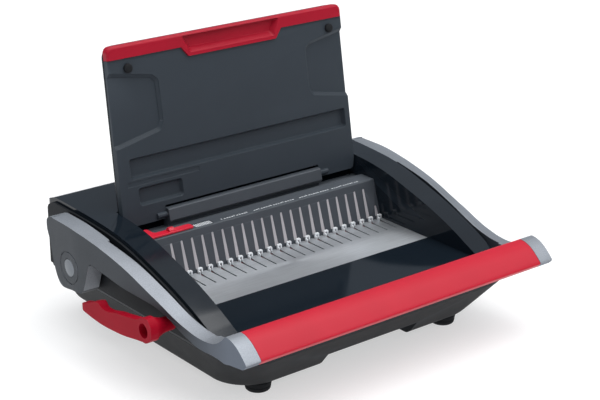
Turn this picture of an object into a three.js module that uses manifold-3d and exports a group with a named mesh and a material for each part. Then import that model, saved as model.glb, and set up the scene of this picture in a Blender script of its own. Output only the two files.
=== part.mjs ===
// Comb binding machine: a manual punch and comb opener. Millimetres, +Z up, front towards -Y.
// The working frame used below has x = 0 on the symmetry plane, y = 0 on the row of comb hooks and z = 0 on the table.
// The exported group is shifted so that its origin is at the middle of the bottom of the bounding box.
import * as THREE from 'three';
import { mergeVertices } from 'three/addons/utils/BufferGeometryUtils.js';
import Module from 'manifold-3d';

const wasm = await Module();
wasm.setup();

// ---------- driving dimensions ----------
const PITCH = 14.2875; // standard comb pitch
const HOOKS = 24;
const FIRST_HOOK = -(HOOKS - 1) / 2 * PITCH;
const WALL = 3; // moulded wall
const GAP = 0.3;
const OPEN_X = 171.7; // half-width of the opening between the cheeks
const BODY_HW_REAR = 205; // half-width of the body at its rear
const BODY_HW_FRONT = 199; // and at its front
const BODY_Y0 = -205; // front of the body
const BODY_Y1 = 170; // rear of the body
const SEAM_Z = 59; // top edge of the base tub
const FLOOR_Z = 12; // underside of the base tub
const SPLIT_Y = 48; // seam between the upper cover and the rear cover
const BED_Z = 77; // bed in front of the comb plate
const PLATE_Y0 = -84; // front edge of the comb plate
const SHELF_Z = 123.2; // paper shelf
const SHELF_Y0 = 16.6;
const SHELF_Y1 = 40;
const THROAT_Y0 = 40.3; // die side of the paper throat
const THROAT_Y1 = 45.7; // guide side of the paper throat
const PIN_Z = 88; // height of the punch pins
const SHAFT = [76, 90]; // y, z of the handle's drive shaft
const SHAFT_R = 4.2;
const LEVER = [-96.6, 79.8]; // y, z of the comb lever's axis
const GEAR_M = 1.75; // gear module
const PINION_T = 24;
const IDLER_T = 12;
const IDLER_DIR = -30; // degrees, from the pinion to the idler in the y-z plane
const LID_AXIS = [53, 134]; // y, z of the lid's hinge
const LID_LEAN = 9.6; // degrees that the open lid leans back
const LID_HW = 170.7;
const LID_LEN = 201.5;
const LEVER_X = -245; // outer face of the comb lever
const ARM_X = 231.3; // outer face of the handle's arms at the rear
const NOSE_Y = -241.7; // front of the handle bar
const OFF_X = -(LEVER_X + ARM_X) / 2;
const OFF_Y = -(NOSE_Y + BODY_Y1) / 2;

const rad = (d) => (d * Math.PI) / 180;
const hookX = (i) => FIRST_HOOK + i * PITCH;

// ---------- solids ----------
function toSolid(geometry) {
  const flat = geometry.index ? geometry.toNonIndexed() : geometry.clone();
  flat.deleteAttribute('normal');
  flat.deleteAttribute('uv');
  const merged = mergeVertices(flat, 1e-4);
  return new wasm.Manifold(new wasm.Mesh({
    numProp: 3,
    vertProperties: merged.attributes.position.array,
    triVerts: new Uint32Array(merged.index.array),
  }));
}
const join = (...s) => s.reduce((a, b) => a.add(b));
const cut = (a, ...s) => s.reduce((x, b) => x.subtract(b), a);
const meet = (a, b) => a.intersect(b);

// Closed outline from [a, b, corner radius] points.
function outline(pts, seg = 3) {
  const out = [], n = pts.length;
  pts.forEach((p, i) => {
    const r = p[2] || 0;
    if (!r) { out.push(new THREE.Vector2(p[0], p[1])); return; }
    const A = pts[(i + n - 1) % n], B = pts[(i + 1) % n];
    const u = [A[0] - p[0], A[1] - p[1]], v = [B[0] - p[0], B[1] - p[1]];
    const lu = Math.hypot(...u), lv = Math.hypot(...v);
    const half = Math.acos((u[0] * v[0] + u[1] * v[1]) / (lu * lv)) / 2;
    const t = Math.min(r / Math.tan(half), lu * 0.49, lv * 0.49), rr = t * Math.tan(half);
    const P = [p[0] + u[0] / lu * t, p[1] + u[1] / lu * t], Q = [p[0] + v[0] / lv * t, p[1] + v[1] / lv * t];
    const b = [u[0] / lu + v[0] / lv, u[1] / lu + v[1] / lv], lb = Math.hypot(...b), d = rr / Math.sin(half);
    const C = [p[0] + b[0] / lb * d, p[1] + b[1] / lb * d];
    const a0 = Math.atan2(P[1] - C[1], P[0] - C[0]);
    let da = Math.atan2(Q[1] - C[1], Q[0] - C[0]) - a0;
    if (da > Math.PI) da -= 2 * Math.PI;
    if (da < -Math.PI) da += 2 * Math.PI;
    for (let k = 0; k <= seg; k++)
      out.push(new THREE.Vector2(C[0] + rr * Math.cos(a0 + da * k / seg), C[1] + rr * Math.sin(a0 + da * k / seg)));
  });
  return out;
}
function extrude(pts, depth, holes = [], seg = 3) {
  const contour = outline(pts, seg);
  if (THREE.ShapeUtils.isClockWise(contour)) contour.reverse();
  const shape = new THREE.Shape(contour);
  for (const h of holes) {
    const path = new THREE.Path();
    if (h.length === 3) path.absarc(h[0], h[1], h[2], 0, Math.PI * 2, true);
    else path.setFromPoints(h.map((q) => new THREE.Vector2(q[0], q[1])));
    shape.holes.push(path);
  }
  return new THREE.ExtrudeGeometry(shape, { depth, bevelEnabled: false, curveSegments: 14, steps: 1 });
}
// Prisms: a (y, z) profile along x, an (x, y) plan along z, an (x, z) profile along y.
const CYCLE = new THREE.Matrix4().set(0, 0, 1, 0, 1, 0, 0, 0, 0, 1, 0, 0, 0, 0, 0, 1);
const prismX = (pts, x0, x1, holes, seg) => toSolid(extrude(pts, x1 - x0, holes, seg).applyMatrix4(CYCLE).translate(x0, 0, 0));
const prismZ = (pts, z0, z1, holes, seg) => toSolid(extrude(pts, z1 - z0, holes, seg).translate(0, 0, z0));
const prismY = (pts, y0, y1, holes, seg) => toSolid(extrude(pts, y1 - y0, holes, seg).rotateX(Math.PI / 2).translate(0, y1, 0));
const box = (x0, x1, y0, y1, z0, z1) =>
  toSolid(new THREE.BoxGeometry(x1 - x0, y1 - y0, z1 - z0).translate((x0 + x1) / 2, (y0 + y1) / 2, (z0 + z1) / 2));
const cylX = (y, z, r, x0, x1, n = 20) =>
  toSolid(new THREE.CylinderGeometry(r, r, x1 - x0, n).rotateZ(Math.PI / 2).translate((x0 + x1) / 2, y, z));
const cylZ = (x, y, r, z0, z1, n = 20, r1 = r) =>
  toSolid(new THREE.CylinderGeometry(r1, r, z1 - z0, n).rotateX(Math.PI / 2).translate(x, y, (z0 + z1) / 2));
// Loft between two plans with the same number of points.
function loftZ(p0, z0, p1, z1) {
  const n = p0.length, pos = [], idx = [];
  for (const [p, z] of [[p0, z0], [p1, z1]]) for (const q of p) pos.push(q.x, q.y, z);
  for (let i = 0; i < n; i++) {
    const j = (i + 1) % n;
    idx.push(i, j, n + j, i, n + j, n + i);
  }
  for (const t of THREE.ShapeUtils.triangulateShape(p0, [])) idx.push(t[0], t[2], t[1]);
  for (const t of THREE.ShapeUtils.triangulateShape(p1, [])) idx.push(n + t[0], n + t[1], n + t[2]);
  const g = new THREE.BufferGeometry();
  g.setAttribute('position', new THREE.Float32BufferAttribute(pos, 3));
  g.setIndex(idx);
  return toSolid(g);
}
function revolve(profile, n = 24) { // [radius, height] pairs about z
  return toSolid(new THREE.LatheGeometry(profile.map((q) => new THREE.Vector2(q[0], q[1])), n).rotateX(Math.PI / 2));
}
const alongX = (s, y, z, x, flip = false) => s.rotate([0, flip ? -90 : 90, 0]).translate([x, y, z]);
const mirrorX = (s) => s.mirror([1, 0, 0]);

// ---------- materials ----------
const mat = (color, roughness, metalness = 0) => new THREE.MeshStandardMaterial({ color, roughness, metalness });
const M = {
  tub: mat(0x2a3038, 0.55), gloss: mat(0x141c23, 0.12), side: mat(0x3d4148, 0.6), lid: mat(0x3e454c, 0.5),
  panel: mat(0x454a50, 0.5), plate: mat(0x9aa0a6, 0.35, 0.9), silver: mat(0xa8acb0, 0.35, 0.6), red: mat(0xc2203a, 0.35),
  leverRed: mat(0xa6162e, 0.4), rubber: mat(0x16181b, 0.8), steel: mat(0x8d9299, 0.4, 0.9), zinc: mat(0xb8bcc0, 0.45, 0.9),
  hook: mat(0xe4e8ea, 0.35, 0.3), nylon: mat(0xd8d6cc, 0.55), tray: mat(0x22272d, 0.5), brass: mat(0xb89a55, 0.4, 0.9),
};

const root = new THREE.Group();
const machine = new THREE.Group();
machine.position.set(OFF_X, OFF_Y, 0);
root.add(machine);
function node(name, solid, material, parent = machine) {
  const m = solid.getMesh(), n = m.numProp, v = new Float32Array(m.numVert * 3);
  for (let i = 0; i < m.numVert; i++) for (let k = 0; k < 3; k++) v[3 * i + k] = m.vertProperties[i * n + k];
  const g = new THREE.BufferGeometry();
  g.setAttribute('position', new THREE.BufferAttribute(v, 3));
  g.setIndex(new THREE.BufferAttribute(new Uint32Array(m.triVerts), 1));
  g.computeVertexNormals();
  const mesh = new THREE.Mesh(g, material);
  mesh.name = name;
  parent.add(mesh);
  return mesh;
}

// ---------- base tub ----------
const plan = (hr, hf, y1, y0, rr, rf) => [[hr, y1, rr], [-hr, y1, rr], [-hf, y0, rf], [hf, y0, rf]];
const hwAt = (y) => BODY_HW_FRONT + (BODY_HW_REAR - BODY_HW_FRONT) * (y - BODY_Y0) / (BODY_Y1 - BODY_Y0);
const SEG = 4;
const outerTub = loftZ(outline(plan(179, 176, 158, -168, 15, 45), SEG), FLOOR_Z, outline(plan(BODY_HW_REAR, BODY_HW_FRONT, BODY_Y1, BODY_Y0, 12, 42), SEG), SEAM_Z);
const innerTub = loftZ(outline(plan(177.6, 174.6, 156, -167, 13, 43), SEG), FLOOR_Z + WALL, outline(plan(BODY_HW_REAR - WALL + 0.4, BODY_HW_FRONT - WALL + 0.4, BODY_Y1 - WALL + 0.4, BODY_Y0 + WALL - 0.4, 10, 39.5), SEG), SEAM_Z + 0.6);
let tub = cut(outerTub, innerTub);
tub = join(tub, meet(box(-68, 68, -200, -147, FLOOR_Z, 34), outerTub)); // back wall of the finger recess
const BLOCKS = [[-110, -96], [79, 93]]; // y spans of the blocks that carry the side frames
for (const [a, b] of BLOCKS) for (const s of [-1, 1])
  tub = join(tub, meet(s > 0 ? box(164, 190, a, b, FLOOR_Z, 26.5) : box(-190, -164, a, b, FLOOR_Z, 26.5), outerTub));
tub = cut(tub, box(-65, 65, -220, -150, 5, 31)); // finger recess
tub = cut(tub, box(150, 215, 3.3, 62.7, FLOOR_Z + WALL, 46.2)); // mouth of the chip tray
const SCREWS = [[-169, -103], [169, -103], [-169, 86], [169, 86]];
for (const [x, y] of SCREWS) tub = cut(tub, cylZ(x, y, 2.4, 5, 30, 12), cylZ(x, y, 4.6, 5, 14.6, 16));
node('base_tub', tub, M.tub);
const footPts = [[-136, -150, 'foot_front_left'], [136, -150, 'foot_front_right'], [-136, 138, 'foot_rear_left'], [136, 138, 'foot_rear_right']];
for (const [x, y, name] of footPts)
  node(name, revolve([[0, 0], [12.6, 0], [14.2, 1.4], [15.4, 10.2], [15.4, 11.7], [0, 11.7]], 18).translate([x, y, 0]), M.rubber);
SCREWS.forEach(([x, y], i) =>
  node('frame_screw_' + (i + 1), join(cylZ(x, y, 4.2, 12.4, 14.3, 12), cylZ(x, y, 2, 14, 32, 8)), M.zinc));

// ---------- upper cover: bed, cheeks and front ----------
const cheekTop = [[-205, 70, 6], [-196, 74.4], [-172, 78.4], [-160, 83.5], [-125, 100], [-80, 117], [-45, 127.5], [0, 139], [27, 143], [SPLIT_Y, 144.7]];
const cheekIn = [[-202, 68], [-194.5, 71.4], [-170, 75.2], [-158, 80.3], [-124, 96.8], [-79, 113.8], [-44, 124.3], [1, 135.8], [28, 139.8], [60, 141.9]];
const planOuter = prismZ(plan(BODY_HW_REAR, BODY_HW_FRONT, BODY_Y1, BODY_Y0, 12, 42), 0, 200, [], SEG);
const planInner = prismZ(plan(BODY_HW_REAR - WALL, BODY_HW_FRONT - WALL, BODY_Y1 - WALL, BODY_Y0 + WALL, 9, 39), 0, 200, [], SEG);
let cover = meet(prismX([[-205, SEAM_Z + GAP], ...cheekTop, [SPLIT_Y, SEAM_Z + GAP]], -215, 215), planOuter);
const sideCavity = prismX([[-202, 50], ...cheekIn, [60, 50]], OPEN_X + WALL, 230);
cover = cut(cover, meet(join(sideCavity, mirrorX(sideCavity)), planInner));
cover = cut(cover, meet(prismX([[-202, 50], [-202, 66.5], [-190, 71.6], [-172, 73.4], [-90, 74], [60, 74], [60, 50]], -OPEN_X - WALL - 0.1, OPEN_X + WALL + 0.1), planInner));
cover = cut(cover, prismX([[-230, 76.6], [-172, 76.6], [-160, BED_Z], [PLATE_Y0 - GAP, BED_Z], [PLATE_Y0 - GAP, 40], [100, 40], [100, 300], [-230, 300]], -OPEN_X, OPEN_X));
cover = join(cover, box(-OPEN_X - 2, OPEN_X + 2, PLATE_Y0 - 6, PLATE_Y0 + 4, 71.6, 74.6));
for (const s of [-1, 1]) {
  const ledge = box(166, OPEN_X + 2, PLATE_Y0 - 2, 0.8, 71.6, 74.6);
  cover = join(cover, s > 0 ? ledge : mirrorX(ledge));
}
cover = cut(cover, prismX([[6.5, 40], [6.5, 76], [19.5, 119.9], [60, 120], [60, 40]], -OPEN_X - WALL - 1.2, OPEN_X + WALL + 1.2));
cover = cut(cover, cylX(LEVER[0], LEVER[1], 6.6, -215, -190));
node('upper_cover', cover, M.gloss);

// ---------- rear cover ----------
let rear = meet(prismX([[SPLIT_Y + GAP, SEAM_Z + GAP], [SPLIT_Y + GAP, 144.7], [94, 147], [144, 148, 6], [BODY_Y1, 140, 12], [BODY_Y1, SEAM_Z + GAP]], -215, 215), planOuter);
rear = cut(rear, meet(prismX([[30, 50], [30, 141.4], [94, 144], [143, 145, 5], [BODY_Y1 - WALL, 138, 10], [BODY_Y1 - WALL, 50]], -215, 215), planInner));
rear = cut(rear, box(-OPEN_X, OPEN_X, 30, 67.5, 50, 200));
rear = join(rear, meet(box(-OPEN_X - 1, OPEN_X + 1, 67.5, 70.5, 112, 145), prismX([[60, 100], [60, 145.2], [94, 146.8], [94, 100]], -200, 200)));
for (const s of [-1, 1]) {
  const inner = meet(box(OPEN_X, OPEN_X + WALL, SPLIT_Y + GAP, 70.5, 120, 150), prismX([[40, 100], [40, 144], [94, 146.6], [94, 100]], -200, 200));
  rear = join(rear, s > 0 ? inner : mirrorX(inner));
}
rear = cut(rear, cylX(SHAFT[0], SHAFT[1], 6.5, -230, 230, 24), box(-230, -190, SHAFT[0] - 6.5, SHAFT[0] + 6.5, 50, SHAFT[1]), box(190, 230, SHAFT[0] - 6.5, SHAFT[0] + 6.5, 50, SHAFT[1]));
node('rear_cover', rear, M.gloss);

// ---------- matt side panels outside the cheeks ----------
const panelProfile = [[-152, 64], [-152, 81.5, 3], [-125, 95.6], [-80, 112.6], [-45, 123.1], [0, 134.6], [27, 138.6], [60, 140.8], [144, 143, 6], [160, 136, 8], [160, 64]];
const panelPlan = (s) => [[s * (hwAt(-152) + GAP), -152], [s * (hwAt(-152) + 3.4), -152], [s * (hwAt(160) + 3.4), 160], [s * (hwAt(160) + GAP), 160]];
for (const s of [-1, 1]) {
  let p = meet(prismX(panelProfile, s > 0 ? 190 : -230, s > 0 ? 230 : -190), prismZ(panelPlan(s), 0, 200));
  p = cut(p, cylX(SHAFT[0], SHAFT[1], 6.5, -230, 230, 24));
  if (s < 0) p = cut(p, cylX(LEVER[0], LEVER[1], 6.6, -230, -190));
  node(s > 0 ? 'side_panel_right' : 'side_panel_left', p, M.side);
}

// ---------- comb plate with slits ----------
const plateHW = OPEN_X - 0.4;
const platePts = [[plateHW, PLATE_Y0], [plateHW, 1.2]];
for (let i = HOOKS - 1; i >= 0; i--) {
  const x = hookX(i);
  platePts.push([x + 3.2, 1.2], [x + 1.2, -12], [x + 1.2, -35], [x - 1.2, -35], [x - 1.2, -12], [x - 2.4, 1.2]);
}
platePts.push([-plateHW, 1.2], [-plateHW, PLATE_Y0]);
node('comb_plate', prismZ(platePts, 75, 76.5), M.plate);

// ---------- grooved back panel with the paper shelf ----------
const slopeY = (z) => 2.2 + (z - 76) * (SHELF_Y0 - 2.2) / (SHELF_Z - 76);
let back = prismX([[2.2, 68], [2.2, 76], [SHELF_Y0, SHELF_Z, 1.2], [SHELF_Y1, SHELF_Z], [SHELF_Y1, 120.2], [19, 119.2], [5.6, 75.4], [5.6, 68]], -plateHW, plateHW, [], 2);
for (let i = 0; i < HOOKS; i++) {
  const x = hookX(i) + 1.8, top = i === HOOKS - 1 ? 92 : 115;
  back = cut(back, prismX([[slopeY(79) - 1, 79], [slopeY(79) + 1.1, 79], [slopeY(top) + 1.1, top], [slopeY(top) - 1, top]], x - 1.9, x + 1.9));
}
back = cut(back, box(-137, -117, 23, 27.4, 115, 130));
node('grooved_back_panel', back, M.panel);

// ---------- red edge guide on the shelf ----------
const gz = SHELF_Z + 0.4;
let guide = prismZ([[-156, 19, 2], [-98, 19, 2], [-98, 30, 3], [-146, 30, 2], [-146, 45, 2], [-156, 45, 2]], gz, gz + 2.1, [], 2);
guide = join(guide, prismX([[20.5, gz + 1], [29, gz + 1], [27, gz + 6, 1], [23, gz + 6, 1]], -130, -124), cylZ(-127, 25.2, 1.8, 117.5, gz + 1, 12));
node('edge_guide', guide, M.red);

// ---------- hinge block and its beam ----------
let block = prismX([[45.7, 127.5], [49.3, 141, 1.5], [57, 141, 2], [60.5, 137.5, 2], [60.5, 110], [52, 110], [52, 121], [47.5, 124.5]], -112.6, 112.6, [], 2);
block = join(block, box(-175.6, 175.6, 51.6, 60.5, 104, 118));
block = cut(block, cylX(LID_AXIS[0], LID_AXIS[1], 2.8, -113, -102, 14), cylX(LID_AXIS[0], LID_AXIS[1], 2.8, 102, 113, 14));
node('hinge_block', block, M.panel);

// ---------- punch: guide plate, die plate and the bar with its pins ----------
function holed(y0, y1, z0, z1, w, h) {
  let s = box(-175.5, 175.5, y0, y1, z0, z1);
  for (let i = 0; i < HOOKS; i++)
    s = cut(s, box(hookX(i) - w / 2, hookX(i) + w / 2, y0 - 1, y1 + 1, PIN_Z - h / 2, PIN_Z + h / 2));
  return s;
}
node('die_plate', holed(36.7, THROAT_Y0, 62, 119.4, 8.9, 3.9), M.steel);
node('punch_guide_plate', join(holed(THROAT_Y1, 49.3, 62, 119.4, 8.7, 3.7), box(-170, 170, THROAT_Y0 + GAP, THROAT_Y1 + 1, 76, 79)), M.steel);
let punch = box(-166, 166, 55.2, 61.2, 84, 92);
for (let i = 0; i < HOOKS; i++) punch = join(punch, box(hookX(i) - 3.95, hookX(i) + 3.95, 38.4, 56, PIN_Z - 1.45, PIN_Z + 1.45));
node('punch_bar', punch, M.zinc);

// ---------- side frames, bushes, tie rods ----------
const idler = [LEVER[0] + (PINION_T + IDLER_T) / 2 * GEAR_M * Math.cos(rad(IDLER_DIR)), LEVER[1] + (PINION_T + IDLER_T) / 2 * GEAR_M * Math.sin(rad(IDLER_DIR))];
const ROD = [[-88, 38, 'tie_rod_front'], [98, 52, 'tie_rod_rear']];
for (const s of [-1, 1]) {
  const holes = [[SHAFT[0], SHAFT[1], 8], ...ROD.map((r) => [r[0], r[1], 2.8])];
  if (s < 0) holes.push([LEVER[0], LEVER[1], 8], [idler[0], idler[1], 3.3], [[-36, 62.4], [2.6, 62.4], [2.6, 71.6], [-36, 71.6]]);
  let f = prismX([[-112, 26.9], [-60, 26.9, 6], [-40, 50, 6], [62, 50, 6], [72, 26.9, 4], [106, 26.9], [106, 116, 6], [16, 116, 6], [-55, 93, 10], [-112, 93, 8]], 176, 179, s > 0 ? holes : holes, 2);
  for (const [a, b] of BLOCKS) f = join(f, box(163, 177, a + 1, b - 1, 26.9, 29.4));
  for (const [x, y] of SCREWS) if (x > 0) f = cut(f, cylZ(x, y, 2.4, 20, 40, 12));
  node(s > 0 ? 'side_frame_right' : 'side_frame_left', s > 0 ? f : mirrorX(f), M.steel);
}
for (const [y, z, name] of ROD) node(name, join(cylX(y, z, 4.4, -175.6, 175.6, 14), cylX(y, z, 2.5, -181, 181, 12)), M.zinc);
const bush = (ri, ro, rf) => revolve([[ri, 0], [rf, 0], [rf, 1.2], [ro, 1.2], [ro, 5.6], [ri, 5.6], [ri, 0]], 14);
node('shaft_bush_right', alongX(bush(SHAFT_R + 0.3, 7.7, 10.4), SHAFT[0], SHAFT[1], 180.5, true), M.brass);
node('shaft_bush_left', alongX(bush(SHAFT_R + 0.3, 7.7, 10.4), SHAFT[0], SHAFT[1], -180.5), M.brass);
node('lever_bush', alongX(bush(5.3, 7.7, 10.4), LEVER[0], LEVER[1], -180.5), M.brass);
node('idler_axle', join(cylX(idler[0], idler[1], 3, -189, -174.6, 14), cylX(idler[0], idler[1], 4.6, -191, -188.6, 14)), M.zinc);

// ---------- return springs around the shaft ----------
class Helix extends THREE.Curve {
  constructor(r, pitch, turns) { super(); this.r = r; this.pitch = pitch; this.turns = turns; }
  getPoint(t, target = new THREE.Vector3()) {
    const a = 2 * Math.PI * this.turns * t;
    return target.set(this.pitch * this.turns * t, this.r * Math.cos(a), this.r * Math.sin(a));
  }
}
const wire = new THREE.Shape(Array.from({ length: 5 }, (_, k) => new THREE.Vector2(1.1 * Math.cos(k * Math.PI * 0.4), 1.1 * Math.sin(k * Math.PI * 0.4))));
const spring = toSolid(new THREE.ExtrudeGeometry(wire, { steps: 34, bevelEnabled: false, extrudePath: new Helix(8.2, 3.6, 3.6) }));
node('return_spring_right', spring.translate([183.2, SHAFT[0], SHAFT[1]]), M.steel);
node('return_spring_left', spring.translate([-196.2, SHAFT[0], SHAFT[1]]), M.steel);

// ---------- handle: arms, grip, core, shaft, cams, caps ----------
const barProfile = [[-236.3, 81.2, 2], [NOSE_Y, 87.8], [-232.9, 96.5], [-224.2, 103], [-215.3, 106.4], [-207.7, 107, 3], [-196.8, 97.4], [-186, 91.4], [-174.7, 86.6, 1.5], [-178, 80.2, 3], [-189, 78.8], [-205.3, 76.6, 3], [-214.5, 78]];
const armProfile = [[109.1, 141.6, 5], [68.9, 141.5], [9.5, 134.8], [-37.7, 127], [-86.3, 111.5], [-135.6, 94.3, 14], [-173.5, 90.3], [-186, 91.8], [-196.8, 97.4], [-207.7, 107, 3], [-215.3, 106.4], [-224.2, 103], [-232.9, 96.5], [NOSE_Y, 87.8], [-236.3, 81.2, 2], [-214.5, 78], [-205.3, 76, 3], [-189, 77.7], [-162.5, 75.8, 10], [-126.7, 86], [-90, 97.7, 10], [-31.5, 100.3], [8.8, 105.4], [33.6, 108.4, 5], [49, 68, 4], [72, 64], [95, 61, 8], [107, 74.6], [116.5, 111], [123, 131, 6]];
const armPlan = [[ARM_X, 135], [ARM_X, 60], [218.7, -176], [218.7, -250], [199.9, -250], [199.9, -174], [202.9, -172], [213.2, 20], [210.3, 20], [210.3, 135]];
const CORE = [-212, 91.5];
let arm = meet(prismX(armProfile, 190, 240, [], 2), prismZ(armPlan, 0, 200));
arm = cut(arm, cylX(SHAFT[0], SHAFT[1], SHAFT_R + 0.3, 205, 224.2, 16), cylX(SHAFT[0], SHAFT[1], 10.9, 229.2, 240, 24), cylX(CORE[0], CORE[1], 8.3, 190, 214.5, 20));
node('arm_right', arm, M.silver);
node('arm_left', mirrorX(arm), M.silver);
node('grip', prismX(barProfile, -199.6, 199.6, [[CORE[0], CORE[1], 8.3]], 2), M.red);
node('handle_core_tube', prismX(Array.from({ length: 20 }, (_, k) => [CORE[0] + 8 * Math.cos(k * Math.PI / 10), CORE[1] + 8 * Math.sin(k * Math.PI / 10)]), -214, 214, [[CORE[0], CORE[1], 6.2]]), M.steel);
node('drive_shaft', cylX(SHAFT[0], SHAFT[1], SHAFT_R, -223.8, 223.8, 18), M.steel);
node('pivot_cap_right', cylX(SHAFT[0], SHAFT[1], 10.5, 229.5, 231.2, 24), M.silver);
node('pivot_cap_left', cylX(SHAFT[0], SHAFT[1], 10.5, -231.2, -229.5, 24), M.silver);
const camPts = [];
for (let k = 0; k <= 12; k++) { // hub, from its upper tangent round the back to its lower tangent
  const a = rad(105) - rad(210) * k / 12;
  camPts.push([SHAFT[0] + 6.2 * Math.cos(a), SHAFT[1] + 6.2 * Math.sin(a)]);
}
for (let k = 0; k <= 6; k++) {
  const a = rad(-105) - rad(150) * k / 6;
  camPts.push([SHAFT[0] - 9.6 + 3 * Math.cos(a), SHAFT[1] + 3 * Math.sin(a)]);
}
for (const s of [-1, 1])
  node(s > 0 ? 'drive_cam_right' : 'drive_cam_left', prismX(camPts, s * 150 - 6, s * 150 + 6, [[SHAFT[0], SHAFT[1], SHAFT_R + 0.3]]), M.steel);

// ---------- comb opener: lever, shaft, pinion, idler, rack with the hooks ----------
const leverPts = [[-103.5, 67.5, 8], [-110.8, 78, 10], [-104, 93.5, 8], [-92, 92.4, 8], [-78, 86.8, 20], [-45, 81.2, 20], [-14.4, 75.6, 6], [-5, 80.6, 5], [14, 72.6, 4], [26.4, 69, 4], [26.4, 59.6, 3], [-10, 54.5, 40], [-60, 57.5, 40]];
let lever = prismX(leverPts, LEVER_X, LEVER_X + 9, [], 3);
lever = join(lever, cylX(LEVER[0], LEVER[1], 13.6, LEVER_X, LEVER_X + 12, 24), cylX(LEVER[0], LEVER[1], 11.6, LEVER_X + 8, -209, 24),
  prismX([[-10, 74, 2], [14, 72.6, 3], [26.4, 69, 4], [26.4, 63, 3], [-8, 67, 3]], LEVER_X + 8, -233.2, [], 2));
lever = cut(lever, cylX(LEVER[0], LEVER[1], 7.6, LEVER_X - 1, LEVER_X + 9, 24), cylX(LEVER[0], LEVER[1], 5.3, -232, -200, 16));
node('comb_lever', lever, M.leverRed);
node('lever_shaft', cylX(LEVER[0], LEVER[1], 5, -231.6, -174.9, 16), M.steel);
function gearPts(cy, cz, teeth, phase) {
  const rp = teeth * GEAR_M / 2, p = 2 * Math.PI / teeth, pts = [];
  for (let k = 0; k < teeth; k++) {
    const a = rad(phase) + k * p;
    for (const [r, w] of [[rp - 1.2 * GEAR_M, -0.27], [rp + 0.9 * GEAR_M, -0.1], [rp + 0.9 * GEAR_M, 0.1], [rp - 1.2 * GEAR_M, 0.27]])
      pts.push([cy + r * Math.cos(a + w * p), cz + r * Math.sin(a + w * p)]);
  }
  return pts;
}
node('pinion', prismX(gearPts(LEVER[0], LEVER[1], PINION_T, IDLER_DIR), -187.5, -182.2, [[LEVER[0], LEVER[1], 5.3]]), M.brass);
node('idler_gear', prismX(gearPts(idler[0], idler[1], IDLER_T, IDLER_DIR + 180 + 180 / IDLER_T), -187.5, -182.2, [[idler[0], idler[1], 3.3]]), M.nylon);
const rackZ = idler[1] - IDLER_T * GEAR_M / 2, rackP = Math.PI * GEAR_M, rackPts = [];
for (let k = 8; k >= -3; k--) {
  const y = idler[0] + k * rackP;
  for (const [w, h] of [[0.27, -1.2], [0.1, 0.9], [-0.1, 0.9], [-0.27, -1.2]]) rackPts.push([y + w * rackP, rackZ + h * GEAR_M]);
}
let rack = prismX([[1, 45.5], [1, 70], [-5, 70], [-5, rackZ - 1.2 * GEAR_M], ...rackPts, [idler[0] - 3.5 * rackP, rackZ - 1.2 * GEAR_M], [idler[0] - 3.5 * rackP, 45.5]], -187.5, -182.2);
rack = join(rack, box(-187.5, 168, -5, 1, 64, 70));
for (let i = 0; i < HOOKS; i++) {
  const x = hookX(i);
  rack = join(rack, box(x - 0.7, x + 0.7, -4, 0.6, 69, 81), box(x - 0.7, x + 4, -1.6, 0.6, 77.4, 81.4));
}
node('comb_hook_rack', rack, M.hook);
for (const s of [-1, 1]) {
  const g = join(box(118, 121, -38, 2.4, 15.3, 62), box(113, 126, -38, 2.4, 61.4, 63.6), box(113, 126, -38, 2.4, 15.3, 17.4));
  node(s > 0 ? 'rack_guide_right' : 'rack_guide_left', s > 0 ? g : mirrorX(g), M.nylon);
}

// ---------- chip tray ----------
let tray = prismY([[-160, 15.6], [177.6, 15.6], [194.2, 45.6], [-160, 45.6]], 4, 62);
tray = cut(tray, prismY([[-158, 17.6], [174.8, 17.6], [191.6, 48], [-158, 48]], 6, 60));
tray = join(tray, prismY([[191, 41.4], [200.5, 45.6], [191, 45.6]], 18, 48));
node('chip_tray', tray, M.tray);

// ---------- lid: x across, y = depth (0 at the inner face), z = distance from the hinge ----------
const lidGroup = new THREE.Group();
lidGroup.position.set(0, LID_AXIS[0], LID_AXIS[1]);
lidGroup.rotation.x = -rad(LID_LEAN);
machine.add(lidGroup);
const FOOT_X = 113.3, TRIM_S = 185.9, JOG_S = 174.3, LID_TOP = 165;
let inner = prismY([[-168, -5, 4], [-FOOT_X, -5, 1], [-FOOT_X, 10.4], [FOOT_X, 10.4], [FOOT_X, -5, 1], [168, -5, 4], [LID_HW, 8], [LID_HW, TRIM_S], [77, TRIM_S], [68, JOG_S], [-58, JOG_S], [-67, TRIM_S], [-LID_TOP, TRIM_S], [-LID_HW, 8]], 0, 7.7, [], 2);
const recess = (dx) => prismY([[182, 90], [166 + dx, 88.3, 4], [112.5 + dx, 98.6, 5], [108.2 + dx, 108, 3], [108.2 + dx, 154.6, 5], [115 + dx, 160.6, 3], [166 + dx, 169.6, 2], [182, 169.6]], -4, 4, [], 2);
inner = cut(inner, recess(5), mirrorX(recess(-5)));
inner = cut(inner, prismY([[-152, 49.5, 2], [162, 49.5, 2], [162, 71.3, 2], [-152, 71.3, 2]], -4, 6, [], 2));
inner = cut(inner, prismY([[-145, 17.5, 3], [-87, 17.5, 3], [-87, 36, 3], [-145, 36, 3]], -4, 5, [], 2));
inner = join(inner, cylX(0, 0, 6, FOOT_X, 126, 18), cylX(0, 0, 6, -126, -FOOT_X, 18));
inner = cut(inner, cylX(0, 0, 2.8, 112, 124.5, 14), cylX(0, 0, 2.8, -124.5, -112, 14), cylX(0, 0, 0.9, 124, 127, 8), cylX(0, 0, 0.9, -127, -124, 8));
for (const s of [-1, 1]) inner = cut(inner, toSolid(new THREE.CylinderGeometry(2.3, 2.3, 5.2, 12).translate(5 + s * 145, 1.4, 174.5)));
node('lid_inner_panel', inner, M.lid, lidGroup);
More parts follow.
